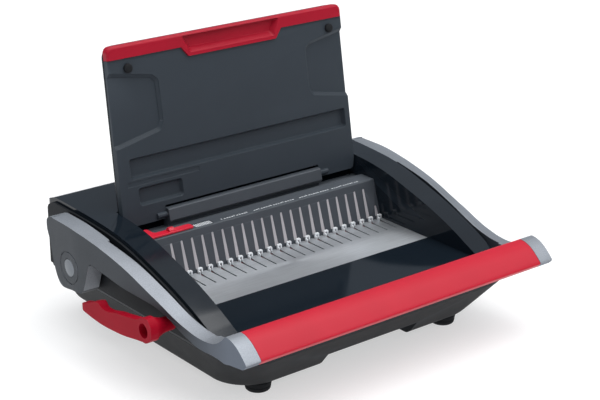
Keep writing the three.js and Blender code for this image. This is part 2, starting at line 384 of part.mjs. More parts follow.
node('lid_outer_shell', prismY([[-168, -5, 4], [-FOOT_X, -5, 1], [-FOOT_X, 10.4], [FOOT_X, 10.4], [FOOT_X, -5, 1], [168, -5, 4], [LID_HW, 8], [LID_HW, LID_LEN, 14], [-LID_TOP, LID_LEN, 14], [-LID_HW, 8]], 8, 11, [], 3), M.gloss, lidGroup);
let trim = prismY([[-LID_TOP, TRIM_S + GAP], [-67, TRIM_S + GAP], [-58, JOG_S + GAP], [68, JOG_S + GAP], [77, TRIM_S + GAP], [LID_HW, TRIM_S + GAP], [LID_HW, LID_LEN, 14], [-LID_TOP, LID_LEN, 14]], -2.4, 7.7, [], 4);
trim = cut(trim, prismY([[-65, 198.7, 2], [-53, 182.6, 2], [63, 182.6, 2], [75, 198.7, 2]], -4, 3.6, [], 2));
node('lid_trim', trim, M.red, lidGroup);
for (const s of [-1, 1]) {
  const b = revolve([[0, 0], [2, 0], [2, 2.8], [5.4, 2.8], [5.4, 5], [4.2, 6.4], [0, 6.4]], 16).rotate([90, 0, 0]).translate([5 + s * 145, 2.5, 174.5]);
  node(s > 0 ? 'lid_bumper_right' : 'lid_bumper_left', b, M.rubber, lidGroup);
  node(s > 0 ? 'lid_hinge_pin_right' : 'lid_hinge_pin_left', cylX(0, 0, 2.5, s > 0 ? 102.4 : -124.2, s > 0 ? 124.2 : -102.4, 12), M.zinc, lidGroup);
}

export default root;
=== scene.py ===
import math

import bmesh
import bpy
from mathutils import Matrix, Vector


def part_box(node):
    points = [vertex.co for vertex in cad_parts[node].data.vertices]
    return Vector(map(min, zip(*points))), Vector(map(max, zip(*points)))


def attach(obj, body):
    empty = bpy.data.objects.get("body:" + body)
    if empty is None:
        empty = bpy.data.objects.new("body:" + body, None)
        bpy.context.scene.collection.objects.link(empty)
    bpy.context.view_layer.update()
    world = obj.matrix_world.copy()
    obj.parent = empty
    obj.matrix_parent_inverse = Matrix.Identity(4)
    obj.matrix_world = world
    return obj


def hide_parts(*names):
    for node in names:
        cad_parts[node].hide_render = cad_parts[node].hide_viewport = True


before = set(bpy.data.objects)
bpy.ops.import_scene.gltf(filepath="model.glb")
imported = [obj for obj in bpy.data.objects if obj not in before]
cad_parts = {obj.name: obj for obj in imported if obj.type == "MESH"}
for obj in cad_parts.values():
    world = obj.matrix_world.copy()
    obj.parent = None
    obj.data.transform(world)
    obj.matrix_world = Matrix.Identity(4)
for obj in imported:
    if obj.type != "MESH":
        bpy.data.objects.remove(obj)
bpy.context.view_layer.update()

scene = bpy.context.scene

# ---------------------------------------------------------------- frame
# Shapes are written in millimetres in the machine's working frame: x = 0 on the symmetry plane,
# y = 0 on the row of comb hooks, z = 0 on the table. The comb plate gives where that frame lies.
_plo, _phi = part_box("comb_plate")
OX = (_plo.x + _phi.x) / 2 * 1000
OY = _plo.y * 1000 + 84.0
TO_FRAME = Matrix(((0.001, 0, 0, OX / 1000), (0, 0.001, 0, OY / 1000), (0, 0, 0.001, 0), (0, 0, 0, 1)))

PITCH = 14.2875
HOOKS = 24
hook_x = lambda i: -(HOOKS - 1) / 2 * PITCH + i * PITCH
OPEN_X = 171.7
SHAFT = (76.0, 90.0)
LEVER = (-96.6, 79.8)
SEAM_Z = 59.0
LID_AXIS = (53.0, 134.0)
_a = math.radians(9.6)
LID = Matrix(((1, 0, 0, 0), (0, math.cos(_a), math.sin(_a), LID_AXIS[0]), (0, -math.sin(_a), math.cos(_a), LID_AXIS[1]), (0, 0, 0, 1)))

# ---------------------------------------------------------------- camera
cam_data = bpy.data.cameras.new("camera")
cam = bpy.data.objects.new("camera", cam_data)
scene.collection.objects.link(cam)
cam.location = (-1.0361 + OX / 1000, -1.3551 + OY / 1000, 0.7844)
cam.rotation_euler = (math.radians(90 - 20.79), 0, math.radians(-38.38))
cam_data.lens = 93.68
cam_data.sensor_width = 36
cam_data.shift_x = 0.00433
cam_data.shift_y = 0.0045
cam_data.clip_start, cam_data.clip_end = 0.05, 50
cam_data.dof.use_dof = False
scene.camera = cam


# ---------------------------------------------------------------- outlines
def rounded(pts, seg=8):
    """Closed outline from (a, b, corner radius) points."""
    out, n = [], len(pts)
    for i, p in enumerate(pts):
        r = p[2] if len(p) > 2 else 0
        if not r:
            out.append((p[0], p[1]))
            continue
        A, B = pts[i - 1], pts[(i + 1) % n]
        u, v = Vector((A[0] - p[0], A[1] - p[1])), Vector((B[0] - p[0], B[1] - p[1]))
        lu, lv = u.length, v.length
        half = math.acos(max(-1, min(1, u.dot(v) / (lu * lv)))) / 2
        if half > math.radians(89.5):
            out.append((p[0], p[1]))
            continue
        t = min(r / math.tan(half), lu * 0.49, lv * 0.49)
        rr = t * math.tan(half)
        P, Q = Vector(p[:2]) + u / lu * t, Vector(p[:2]) + v / lv * t
        C = Vector(p[:2]) + (u / lu + v / lv).normalized() * (rr / math.sin(half))
        a0 = math.atan2(P.y - C.y, P.x - C.x)
        da = math.atan2(Q.y - C.y, Q.x - C.x) - a0
        da = (da + math.pi) % (2 * math.pi) - math.pi
        for k in range(seg + 1):
            a = a0 + da * k / seg
            out.append((C.x + rr * math.cos(a), C.y + rr * math.sin(a)))
    return out


def curve(pts, n=6):
    """Open smooth chain through the points, without overshoot."""
    P = [Vector(p[:2]) for p in pts]
    d = [(P[i + 1] - P[i]).length for i in range(len(P) - 1)]
    m = []
    for i in range(len(P)):
        if i == 0:
            m.append((P[1] - P[0]) / d[0])
        elif i == len(P) - 1:
            m.append((P[-1] - P[-2]) / d[-1])
        else:
            m.append(((P[i + 1] - P[i]) / d[i] * d[i - 1] + (P[i] - P[i - 1]) / d[i - 1] * d[i]) / (d[i] + d[i - 1]))
    out = []
    for i in range(len(P) - 1):
        for k in range(n):
            t = k / n
            h = (2 * t**3 - 3 * t**2 + 1) * P[i] + (t**3 - 2 * t**2 + t) * d[i] * m[i] + (-2 * t**3 + 3 * t**2) * P[i + 1] + (t**3 - t**2) * d[i] * m[i + 1]
            out.append((h.x, h.y))
    out.append(tuple(P[-1]))
    return out


def offset(pts, dist):
    """Polygon of (a, b, r) points moved outwards by dist."""
    n = len(pts)
    area = sum(pts[i][0] * pts[(i + 1) % n][1] - pts[(i + 1) % n][0] * pts[i][1] for i in range(n))
    s = 1 if area > 0 else -1
    out = []
    for i in range(n):
        a, p, b = Vector(pts[i - 1][:2]), Vector(pts[i][:2]), Vector(pts[(i + 1) % n][:2])
        e0, e1 = (p - a).normalized(), (b - p).normalized()
        n0, n1 = Vector((e0.y, -e0.x)) * s, Vector((e1.y, -e1.x)) * s
        k = (n0 + n1) / (1 + n0.dot(n1))
        q = p + k * dist
        out.append((q.x, q.y, *(pts[i][2:])))
    return out


def circle(cy, cz, r, n=40):
    return [(cy + r * math.cos(2 * math.pi * k / n), cz + r * math.sin(2 * math.pi * k / n)) for k in range(n)]


# ---------------------------------------------------------------- solids
def mesh_object(name, verts, faces):
    me = bpy.data.meshes.new(name)
    me.from_pydata([tuple(v) for v in verts], [], faces)
    bm = bmesh.new()
    bm.from_mesh(me)
    bmesh.ops.recalc_face_normals(bm, faces=bm.faces)
    bm.to_mesh(me)
    bm.free()
    o = bpy.data.objects.new(name, me)
    scene.collection.objects.link(o)
    return o


def at(axis, p, t):
    """A point of an outline at station t along an axis: (y, z) along x, (x, z) along y, (x, y) along z."""
    return {"x": (t, p[0], p[1]), "y": (p[0], t, p[1]), "z": (p[0], p[1], t)}[axis]


def loft(axis, rings):
    """Closed solid through outlines of the same length: rings = [(outline, station), ...]."""
    n = len(rings[0][0])
    verts = [at(axis, p, t) for pts, t in rings for p in pts]
    faces = []
    for k in range(len(rings) - 1):
        for i in range(n):
            j = (i + 1) % n
            faces.append((k * n + i, k * n + j, (k + 1) * n + j, (k + 1) * n + i))
    faces.append(tuple(range(n)))
    faces.append(tuple((len(rings) - 1) * n + i for i in range(n)))
    return mesh_object("tmp", verts, faces)


def prism(axis, pts, a, b, seg=8):
    p = rounded(pts, seg)
    return loft(axis, [(p, a), (p, b)])


def box(x0, x1, y0, y1, z0, z1):
    return loft("z", [([(x0, y0), (x1, y0), (x1, y1), (x0, y1)], z0), ([(x0, y0), (x1, y0), (x1, y1), (x0, y1)], z1)])


def cyl_x(y, z, r, x0, x1, n=48, r1=None):
    return loft("x", [(circle(y, z, r, n), x0), (circle(y, z, r if r1 is None else r1, n), x1)])


def cyl_z(x, y, r, z0, z1, n=32):
    return loft("z", [(circle(x, y, r, n), z0), (circle(x, y, r, n), z1)])


def lathe(profile, n=48, axis="z", centre=(0, 0, 0), flip=1):
    """Revolved profile of (radius, height); a zero radius is one point. An open profile from axis to axis, or a closed loop."""
    verts, faces, rows = [], [], []
    closed = all(r > 1e-6 for r, h in profile)
    for r, h in profile:
        if r < 1e-6:
            rows.append([len(verts)])
            verts.append((0, 0, h))
        else:
            rows.append(list(range(len(verts), len(verts) + n)))
            verts += [(r * math.cos(2 * math.pi * k / n), r * math.sin(2 * math.pi * k / n), h) for k in range(n)]
    pairs = list(zip(rows, rows[1:])) + ([(rows[-1], rows[0])] if closed else [])
    for A, B in pairs:
        for k in range(n):
            j = (k + 1) % n
            if len(A) == 1:
                faces.append((A[0], B[k], B[j]))
            elif len(B) == 1:
                faces.append((A[k], A[j], B[0]))
            else:
                faces.append((A[k], A[j], B[j], B[k]))
    if axis == "x":
        verts = [(centre[0] + flip * z, centre[1] + x, centre[2] + y) for x, y, z in verts]
    elif axis == "y":
        verts = [(centre[0] + x, centre[1] + flip * z, centre[2] + y) for x, y, z in verts]
    else:
        verts = [(centre[0] + x, centre[1] + y, centre[2] + flip * z) for x, y, z in verts]
    return mesh_object("tmp", verts, faces)


def boolean(a, b, op):
    m = a.modifiers.new("b", "BOOLEAN")
    m.operation, m.object, m.solver = op, b, "MANIFOLD"
    dg = bpy.context.evaluated_depsgraph_get()
    dg.update()
    made = bpy.data.meshes.new_from_object(a.evaluated_get(dg))
    if not len(made.polygons) and op != "INTERSECT":
        m.solver = "EXACT"
        dg.update()
        made = bpy.data.meshes.new_from_object(a.evaluated_get(dg))
    a.modifiers.clear()
    old, a.data = a.data, made
    bpy.data.meshes.remove(old)
    gone = b.data
    bpy.data.objects.remove(b)
    bpy.data.meshes.remove(gone)
    return a


def cut(a, *bs):
    for b in bs:
        a = boolean(a, b, "DIFFERENCE")
    return a


def join(a, *bs):
    for b in bs:
        a = boolean(a, b, "UNION")
    return a


def meet(a, b):
    return boolean(a, b, "INTERSECT")


def merged(objs):
    """Several separate solids as one mesh."""
    verts, faces = [], []
    for o in objs:
        k = len(verts)
        verts += [tuple(v.co) for v in o.data.vertices]
        faces += [tuple(k + i for i in p.vertices) for p in o.data.polygons]
        me = o.data
        bpy.data.objects.remove(o)
        bpy.data.meshes.remove(me)
    return mesh_object("tmp", verts, faces)


def copy_of(o):
    c = bpy.data.objects.new("tmp", o.data.copy())
    scene.collection.objects.link(c)
    return c


def mirrored(o):
    c = copy_of(o)
    c.data.transform(Matrix.Diagonal((-1, 1, 1, 1)))
    c.data.flip_normals()
    return c


def tidy(me, dist=0.02):
    bm = bmesh.new()
    bm.from_mesh(me)
    bmesh.ops.remove_doubles(bm, verts=bm.verts, dist=dist)
    bmesh.ops.dissolve_degenerate(bm, dist=0.005, edges=bm.edges)
    bmesh.ops.dissolve_limit(bm, angle_limit=math.radians(0.4), verts=bm.verts, edges=bm.edges)
    bmesh.ops.recalc_face_normals(bm, faces=bm.faces)
    bm.to_mesh(me)
    bm.free()


def piece(name, o, body, material, bevel=0.8, seg=3, angle=28, replaces=(), place=None, sharp=None):
    """Puts a solid made in millimetres into the frame as a finished piece."""
    tidy(o.data)
    if place is not None:
        o.data.transform(place)
    o.data.transform(TO_FRAME)
    o.name = o.data.name = name
    o.data.materials.clear()
    o.data.materials.append(material)
    for p in o.data.polygons:
        p.use_smooth = True
        p.material_index = 0
    if bevel:
        m = o.modifiers.new("bevel", "BEVEL")
        m.width, m.segments, m.limit_method, m.angle_limit = bevel / 1000, seg, "ANGLE", math.radians(angle)
        m.use_clamp_overlap = True
        m.miter_outer = "MITER_ARC"
        w = o.modifiers.new("normals", "WEIGHTED_NORMAL")
        w.weight, w.keep_sharp = 60, True
    else:
        o.data.set_sharp_from_angle(angle=math.radians(sharp or 32))
    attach(o, body)
    if replaces:
        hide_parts(*replaces)
    return o


# ---------------------------------------------------------------- materials
def srgb(h):
    c = [int(h[i:i + 2], 16) / 255 for i in (0, 2, 4)]
    return tuple(x / 12.92 if x <= 0.04045 else ((x + 0.055) / 1.055) ** 2.4 for x in c) + (1,)


def shade(c, k):
    return tuple(min(1, x * k) for x in c[:3]) + (1,)


def material(name, colour, rough, metal=0.0, spec=0.5, coat=0.0, coat_rough=0.06, vary=0.07, vary_scale=22, grain=900, bump=0.08,
             grain_mm=0.04, speck=0.0, speck_scale=1600, rough_vary=0.05, edge=0.12, edge_wear_highlight_colour=None, stretch=(1, 1, 1), aniso=0.0):
    """Moulded, painted or brushed surface: slow colour variation, fine specks, paler edges (part edge wear, part
    painted highlight), uneven gloss and a fine relief.
    """
    mat = bpy.data.materials.new(name)
    mat.use_nodes = True
    nt = mat.node_tree
    bsdf = nt.nodes["Principled BSDF"]
    new = nt.nodes.new
    link = nt.links.new
    base = srgb(colour)
    tc, mp = new("ShaderNodeTexCoord"), new("ShaderNodeMapping")
    link(tc.outputs["Object"], mp.inputs["Vector"])
    mp.inputs["Scale"].default_value = stretch
    slow = new("ShaderNodeTexNoise")
    slow.inputs["Scale"].default_value = vary_scale
    slow.inputs["Detail"].default_value = 3
    link(tc.outputs["Object"], slow.inputs["Vector"])
    ramp = new("ShaderNodeValToRGB")
    ramp.color_ramp.elements[0].position, ramp.color_ramp.elements[1].position = 0.32, 0.68
    ramp.color_ramp.elements[0].color, ramp.color_ramp.elements[1].color = shade(base, 1 - vary), shade(base, 1 + vary)
    link(slow.outputs["Fac"], ramp.inputs["Fac"])
    out = ramp.outputs["Color"]
    fine = new("ShaderNodeTexNoise")
    fine.inputs["Scale"].default_value = speck_scale
    fine.inputs["Detail"].default_value = 2
    link(mp.outputs["Vector"], fine.inputs["Vector"])
    if speck:
        r2 = new("ShaderNodeValToRGB")
        r2.color_ramp.elements[0].position, r2.color_ramp.elements[1].position = 0.38, 0.64
        r2.color_ramp.elements[0].color, r2.color_ramp.elements[1].color = (1 - speck,) * 3 + (1,), (1 + speck * 0.0,) * 3 + (1,)
        link(fine.outputs["Fac"], r2.inputs["Fac"])
        mul = new("ShaderNodeMix")
        mul.data_type, mul.blend_type = "RGBA", "MULTIPLY"
        mul.inputs[0].default_value = 1
        link(out, mul.inputs[6])
        link(r2.outputs["Color"], mul.inputs[7])
        out = mul.outputs[2]
    # paler colour on sharp edges from Pointiness: part edge wear, part painted highlight along the edges
    if edge:
        geo = new("ShaderNodeNewGeometry")
        r3 = new("ShaderNodeValToRGB")
        r3.color_ramp.elements[0].position, r3.color_ramp.elements[1].position = 0.52, 0.62
        r3.color_ramp.elements[0].color, r3.color_ramp.elements[1].color = (0, 0, 0, 1), (edge,) * 3 + (1,)
        link(geo.outputs["Pointiness"], r3.inputs["Fac"])
        mix = new("ShaderNodeMix")
        mix.data_type = "RGBA"
        link(r3.outputs["Color"], mix.inputs[0])
        link(out, mix.inputs[6])
        mix.inputs[7].default_value = srgb(edge_wear_highlight_colour) if edge_wear_highlight_colour else shade(base, 2.2)
        out = mix.outputs[2]
    link(out, bsdf.inputs["Base Color"])
    mr = new("ShaderNodeMapRange")
    mr.inputs["To Min"].default_value, mr.inputs["To Max"].default_value = max(0.02, rough - rough_vary), min(1, rough + rough_vary)
    r4 = new("ShaderNodeTexNoise")
    r4.inputs["Scale"].default_value = 60
    r4.inputs["Detail"].default_value = 4
    link(mp.outputs["Vector"], r4.inputs["Vector"])
    link(r4.outputs["Fac"], mr.inputs["Value"])
    link(mr.outputs["Result"], bsdf.inputs["Roughness"])
    if bump:
        gn, bp = new("ShaderNodeTexNoise"), new("ShaderNodeBump")
        gn.inputs["Scale"].default_value = grain
        gn.inputs["Detail"].default_value = 3
        link(mp.outputs["Vector"], gn.inputs["Vector"])
        link(gn.outputs["Fac"], bp.inputs["Height"])
        bp.inputs["Strength"].default_value = bump
        bp.inputs["Distance"].default_value = grain_mm / 1000
        link(bp.outputs["Normal"], bsdf.inputs["Normal"])
    bsdf.inputs["Metallic"].default_value = metal
    bsdf.inputs["Specular IOR Level"].default_value = spec
    bsdf.inputs["Coat Weight"].default_value = coat
    bsdf.inputs["Coat Roughness"].default_value = coat_rough
    bsdf.inputs["Anisotropic"].default_value = aniso
    return mat


# the edge colours below are paler tones for sharp edges: part edge wear, part painted highlight
M = {
    "base": material("base_moulding", "0d1115", 0.55, spec=0.15, bump=0.35, grain=1400, edge=0.16, edge_wear_highlight_colour="414851"),
    "gloss": material("black_gloss", "131a21", 0.10, spec=0.28, vary=0.05, bump=0.0, rough_vary=0.03, edge=0.22, edge_wear_highlight_colour="4b5661"),
    "side": material("side_moulding", "14171b", 0.58, spec=0.18, bump=0.3, grain=1300, edge=0.2, edge_wear_highlight_colour="474d56"),
    "lid": material("lid_moulding", "30373e", 0.52, spec=0.22, bump=0.28, grain=1500, vary=0.03, edge=0.22, edge_wear_highlight_colour="5c646d"),
    "panel": material("panel_moulding", "40454b", 0.48, spec=0.35, bump=0.25, grain=1500, vary=0.04, edge=0.22, edge_wear_highlight_colour="70767d"),
    "strip": material("groove_strip", "a9a6a9", 0.42, spec=0.4, bump=0.15, grain=1500, edge=0.1),
    "plate": material("comb_plate_satin", "cbd0d5", 0.40, metal=0.8, bump=0.22, grain=500, stretch=(0.06, 1.6, 1), vary=0.05, speck=0.12, speck_scale=700, edge=0.15, aniso=0.4),
    "silver": material("silver_paint", "8f949b", 0.42, metal=0.5, bump=0.12, grain=2200, speck=0.24, speck_scale=1500, vary=0.05, edge=0.35, edge_wear_highlight_colour="d5d9dd"),
    # the arms' silver paint again, darker: painted shade for their side and under faces
    "silver_shaded_side": material("silver_paint_shaded_side", "383d43", 0.44, metal=0.35, spec=0.25, bump=0.12, grain=2200, speck=0.2, speck_scale=1500, vary=0.05, edge=0.3, edge_wear_highlight_colour="868d95"),
    "cap": material("bright_cap", "70757b", 0.34, metal=0.7, bump=0.05, grain=1800, speck=0.08, edge=0.2, edge_wear_highlight_colour="b5babf"),
    "grip": material("grip_red_moulding", "b3142a", 0.42, spec=0.22, coat=0.04, coat_rough=0.3, bump=0.14, grain=1600, vary=0.03, edge=0.15, edge_wear_highlight_colour="d83c4e"),
    "red": material("trim_red_moulding", "9c0f26", 0.38, spec=0.18, bump=0.10, grain=1500, vary=0.04, edge=0.25, edge_wear_highlight_colour="c92d44"),
    "guide": material("guide_red_moulding", "cc1a33", 0.32, spec=0.45, bump=0.08, grain=1500, vary=0.04, edge=0.3, edge_wear_highlight_colour="ef5a68"),
    "lever": material("lever_red_moulding", "970a20", 0.46, spec=0.06, bump=0.12, grain=1500, vary=0.05, edge=0.18, edge_wear_highlight_colour="b52c40"),
    "carrier": material("carrier_red_moulding", "8a0c22", 0.42, spec=0.2, bump=0.1, grain=1500, vary=0.04, edge=0.2, edge_wear_highlight_colour="b52c40"),
    "hook": material("hook_steel", "f2f5f7", 0.3, metal=0.25, bump=0.08, grain=1500, vary=0.03, edge=0.2, edge_wear_highlight_colour="ffffff"),
    "rubber": material("black_rubber", "131518", 0.78, spec=0.25, bump=0.5, grain=1700, edge=0.15, edge_wear_highlight_colour="3c4046"),
    "steel": material("rolled_steel", "8d9299", 0.38, metal=0.9, bump=0.2, grain=420, stretch=(0.08, 1, 1), speck=0.15, edge=0.3, edge_wear_highlight_colour="cfd3d7"),
    "zinc": material("zinc_plate", "b3b7bb", 0.42, metal=0.9, bump=0.15, grain=900, speck=0.12, edge=0.25, edge_wear_highlight_colour="e3e6e8"),
    "brass": material("turned_brass", "b59653", 0.36, metal=0.9, bump=0.12, grain=700, speck=0.1, edge=0.25, edge_wear_highlight_colour="e5cd93"),
    "nylon": material("natural_nylon", "d5d3c8", 0.5, spec=0.4, bump=0.15, grain=1200, vary=0.04, edge=0.1),
    "tray": material("tray_moulding", "1f2429", 0.5, spec=0.35, bump=0.3, grain=1300, edge=0.18, edge_wear_highlight_colour="4b525a"),
    "mark": material("white_print", "dfe3e6", 0.5, spec=0.3, bump=0.1, grain=1500, edge=0.0),
}



def paint_reflection_gradient(mat, colour, y0, y1):
    """Painted reflection: a second tone blended in towards one end of the piece, along the object's own Y."""
    nt = mat.node_tree
    bsdf = nt.nodes["Principled BSDF"]
    src = bsdf.inputs["Base Color"].links[0].from_socket
    co, sp, mr, mx = (nt.nodes.new(k) for k in ("ShaderNodeTexCoord", "ShaderNodeSeparateXYZ", "ShaderNodeMapRange", "ShaderNodeMix"))
    nt.links.new(co.outputs["Object"], sp.inputs[0])
    nt.links.new(sp.outputs["Y"], mr.inputs["Value"])
    mr.inputs["From Min"].default_value, mr.inputs["From Max"].default_value = y0, y1
    mx.data_type = "RGBA"
    nt.links.new(mr.outputs["Result"], mx.inputs[0])
    nt.links.new(src, mx.inputs[6])
    mx.inputs[7].default_value = srgb(colour)
    nt.links.new(mx.outputs[2], bsdf.inputs["Base Color"])


# painted reflection: the arms' shaded sides turn lighter and bluer towards the front end
paint_reflection_gradient(M["silver_shaded_side"], "5e6672", (-140 + OY) / 1000, (-212 + OY) / 1000)

# ---------------------------------------------------------------- base shell
plan = lambda hr, hf, y1, y0, rr, rf: [(hr, y1, rr), (-hr, y1, rr), (-hf, y0, rf), (hf, y0, rf)]
BODY = plan(205, 199, 170, -205, 12, 42)
hw_at = lambda y: 199 + 6 * (y + 205) / 375


def tub_ring(z, inset=0.0):
    t = (z - 12) / 47
    return rounded(plan(179 + 26 * t - inset, 176 + 23 * t - inset, 158 + 12 * t - inset, -168 - 37 * t + inset, 15 - 3 * t, 45 - 3 * t), 14)


tub = loft("z", [(tub_ring(12, 5.0), 12.0), (tub_ring(12.4, 3.2), 12.35), (tub_ring(13.2, 1.8), 13.2), (tub_ring(14.6, 0.8), 14.6), (tub_ring(16.6, 0.2), 16.6), (tub_ring(19, 0), 19.0), (tub_ring(59, 0), 59.0)])
inner_top = rounded(plan(202.4, 196.4, 167.4, -202.4, 10, 39.5), 14)
tub = cut(tub, loft("z", [(rounded(plan(177.2, 174.2, 155.6, -166.6, 13, 43), 14), 15.0), (inner_top, 59.6)]))
recess_wall = meet(box(-68, 68, -200, -147, 12, 34), loft("z", [(tub_ring(12.2, 5.0), 12.1), (tub_ring(16.6, 0.3), 16.6), (tub_ring(59, 0.2), 58.0)]))
tub = join(tub, recess_wall)
tub = cut(tub, prism("x", [(-235, 5), (-235, 31), (-150, 31, 7), (-150, 5)], -65, 65))
tub = cut(tub, prism("x", [(3.3, 15, 2.5), (62.7, 15, 2.5), (62.7, 46.2, 2.5), (3.3, 46.2, 2.5)], 150, 215, 6))
for x, y in ((-169, -103), (169, -103), (-169, 86), (169, 86)):
    tub = cut(tub, cyl_z(x, y, 2.4, 5, 30, 20), cyl_z(x, y, 4.6, 5, 14.6, 28))
piece("base_shell", tub, "base", M["base"], bevel=0.7, angle=35, replaces=("base_tub",))

for x, y, node in ((-136, -150, "foot_front_left"), (136, -150, "foot_front_right"), (-136, 138, "foot_rear_left"), (136, 138, "foot_rear_right")):
    foot = lathe([(0, 0.6), (8.6, 0.6), (9.2, 0), (11.6, 0), (12.9, 0.5), (13.8, 1.6), (14.3, 3.4), (14.5, 5.2), (14.1, 5.6), (14.1, 6.2), (14.7, 6.6), (15.2, 9.2), (15.4, 11.2), (15.2, 11.7), (0, 11.7)], 64, centre=(x, y, 0))
    piece(node + "_pad", foot, "base", M["rubber"], bevel=0, sharp=40, replaces=(node,))

# ---------------------------------------------------------------- upper and rear covers, one skin split on a slanting seam
cheek = [(-205, 59.3), (-205, 66.5), (-203.6, 70.2), (-200, 73)] + curve([(-196, 74.4), (-172, 78.4), (-160, 83.5), (-125, 100), (-80, 117), (-45, 127.5), (0, 139), (27, 143), (48, 144.7), (94, 147), (136, 147.9)], 7)
outer = rounded([(p[0], p[1]) for p in cheek] + [(148, 148, 5), (170, 140, 13), (170, 59.3)], 8)


def full_cover():
    c = meet(loft("x", [(outer, -215), (outer, 215)]), prism("z", BODY, 0, 200, 14))
    shell_in = prism("z", plan(202, 196, 167, -202, 9, 39), 0, 200, 12)
    low = [(-202, 50), (-202, 66.5)]
    side = low + [(-194.5, 71.0), (-170, 74.8), (-158, 79.9), (-124, 96.4), (-79, 113.4), (-44, 123.9), (1, 135.4), (28, 139.4), (60, 141.3), (94, 143.6), (140, 144.6), (152, 143), (167, 137), (167, 50)]
    cav = [meet(prism("x", side, OPEN_X + 3, 230), copy_of(shell_in)), meet(prism("x", side, -230, -OPEN_X - 3), copy_of(shell_in))]
    mid = low + [(-190, 71.6), (-172, 73.4), (-90, 74), (60, 74), (60, 50)]
    cav.append(meet(prism("x", mid, -OPEN_X - 3.1, OPEN_X + 3.1), copy_of(shell_in)))
    back = [(70.5, 50), (70.5, 143), (94, 143.6), (140, 144.6), (152, 143), (167, 137), (167, 50)]
    cav.append(meet(prism("x", back, -OPEN_X - 3.1, OPEN_X + 3.1), shell_in))
    c = cut(c, *cav)
    c = cut(c, prism("x", [(-240, 76.6), (-172, 76.6), (-160, 77), (-84.3, 77), (-84.3, 40), (67.5, 40), (67.5, 300), (-240, 300)], -OPEN_X, OPEN_X))
    c = cut(c, prism("x", [(6.5, 40), (6.5, 76), (19.5, 119.9), (67.5, 120), (67.5, 40)], -OPEN_X - 4.2, OPEN_X + 4.2))
    c = cut(c, box(-OPEN_X - 4.2, OPEN_X + 4.2, 60, 72, 40, 112))
    c = cut(c, cyl_x(SHAFT[0], SHAFT[1], 6.5, -230, 230, 40), box(-230, -190, SHAFT[0] - 6.5, SHAFT[0] + 6.5, 50, SHAFT[1]), box(190, 230, SHAFT[0] - 6.5, SHAFT[0] + 6.5, 50, SHAFT[1]))
    return cut(c, cyl_x(LEVER[0], LEVER[1], 6.6, -215, -190, 40))


whole = full_cover()
for part in ("front", "rear"):
    edge = 0.15 if part == "rear" else -0.15
    far = 400 if part == "rear" else -400
    seam = [(-230, far), (-230, 30 + edge), (-202, 30 + edge), (-174, 59 + edge), (174, 59 + edge), (202, 30 + edge), (230, 30 + edge), (230, far)]
    c = meet(copy_of(whole), prism("z", seam, 0, 250))
    if part == "front":
        piece("upper_cover_skin", c, "base", M["gloss"], bevel=0.9, seg=4, angle=30, replaces=("upper_cover",))
    else:
        piece("rear_cover_skin", c, "base", M["gloss"], bevel=0.9, seg=4, angle=30, replaces=("rear_cover",))
_me = whole.data
bpy.data.objects.remove(whole)
bpy.data.meshes.remove(_me)

# ---------------------------------------------------------------- matt side panels
panel_top = curve([(-149, 83.2), (-125, 95.6), (-80, 112.6), (-45, 123.1), (0, 134.6), (27, 138.6), (60, 140.8), (100, 142), (140, 142.9)], 6)
panel_profile = rounded([(-152, 64, 2), (-152, 79, 2)] + panel_top + [(148, 142.6, 4), (160, 136, 8), (160, 64, 2)], 6)
for s, side in ((1, "right"), (-1, "left")):
    p = meet(loft("x", [(panel_profile, 190), (panel_profile, 230)]), prism("z", [(hw_at(-152) + 0.3, -152), (hw_at(-152) + 3.4, -152), (hw_at(160) + 3.4, 160), (hw_at(160) + 0.3, 160)], 0, 200))
    p = cut(p, cyl_x(SHAFT[0], SHAFT[1], 6.5, 180, 230, 40))
    if s < 0:
        p = cut(p, cyl_x(LEVER[0], LEVER[1], 6.6, 180, 230, 40))
        q = mirrored(p)
        bpy.data.objects.remove(p)
        p = q
    piece("side_cover_" + side, p, "base", M["side"], bevel=1.1, seg=3, replaces=("side_panel_" + side,))

# ---------------------------------------------------------------- comb plate
hw = OPEN_X - 0.4
pts = [(hw, -84, 1.0), (hw, 1.2)]
for i in range(HOOKS - 1, -1, -1):
    x = hook_x(i)
    pts += [(x + 3.2, 1.2, 0.3), (x + 1.0, -12, 6), (x + 0.95, -35, 0.9), (x - 0.95, -35, 0.9), (x - 1.0, -12, 6), (x - 2.4, 1.2, 0.3)]
pts += [(-hw, 1.2), (-hw, -84, 1.0)]
piece("comb_plate_sheet", prism("z", pts, 75, 76.5, 5), "base", M["plate"], bevel=0.18, seg=2, replaces=("comb_plate",))

# ---------------------------------------------------------------- grooved back panel, strips, shelf print
slope_y = lambda z: 2.2 + (z - 76) * 14.4 / 47.2
panel = prism("x", [(2.2, 68), (2.2, 76), (16.6, 123.2, 1.6), (40, 123.2, 0.5), (40, 120.2), (19, 119.2), (5.6, 75.4), (5.6, 68)], -hw, hw)


def groove(i, w_top, w_bot, z0, depth0, depth1):
    """Tapered groove or strip normal to the slope, with a round top: outline in (x, distance up the slope)."""
    x = hook_x(i) + 1.8
    top = 92 if i == HOOKS - 1 else 115
    k = [(x - w_bot / 2, z0)] + [(x - w_top / 2 * math.cos(a), top - w_top / 2 + w_top / 2 * math.sin(a)) for a in [math.pi * j / 10 for j in range(11)]] + [(x + w_bot / 2, z0)]
    verts = [(px, slope_y(pz) + d, pz) for d in (depth0, depth1) for px, pz in k]
    n = len(k)
    faces = [tuple(range(n)), tuple(range(n, 2 * n))] + [(j, (j + 1) % n, n + (j + 1) % n, n + j) for j in range(n)]
    return mesh_object("tmp", verts, faces)


